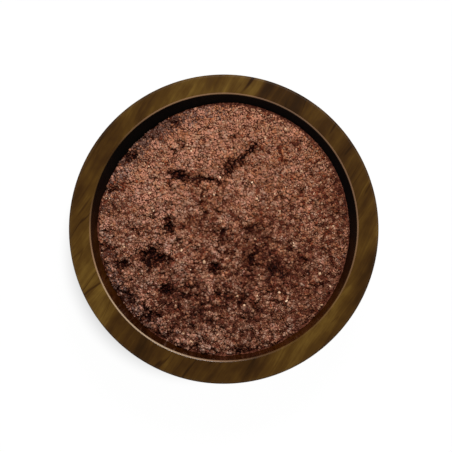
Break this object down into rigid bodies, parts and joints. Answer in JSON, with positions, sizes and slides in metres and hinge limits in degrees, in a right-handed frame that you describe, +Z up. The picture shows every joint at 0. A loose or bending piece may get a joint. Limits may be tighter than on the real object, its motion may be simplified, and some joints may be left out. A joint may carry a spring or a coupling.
{
  "type": "bowl of spice rub",
  "caption": "Small turned wooden bowl with a flat rim, filled to just under the rim with a coarse brown spice rub.",
  "frame": {"origin": "centre of the foot's underside", "axes": "+Z up through the middle of the bowl; seen from above with +X to the right, +Y is at the top of the picture's view"},
  "size_m": [0.1, 0.1, 0.04],
  "materials": {
    "wood": "satin",
    "rub": "matte"
  },
  "bodies": {
    "root": {"bowl": "wood", "spice_rub": "rub"}
  },
  "joints": []
}
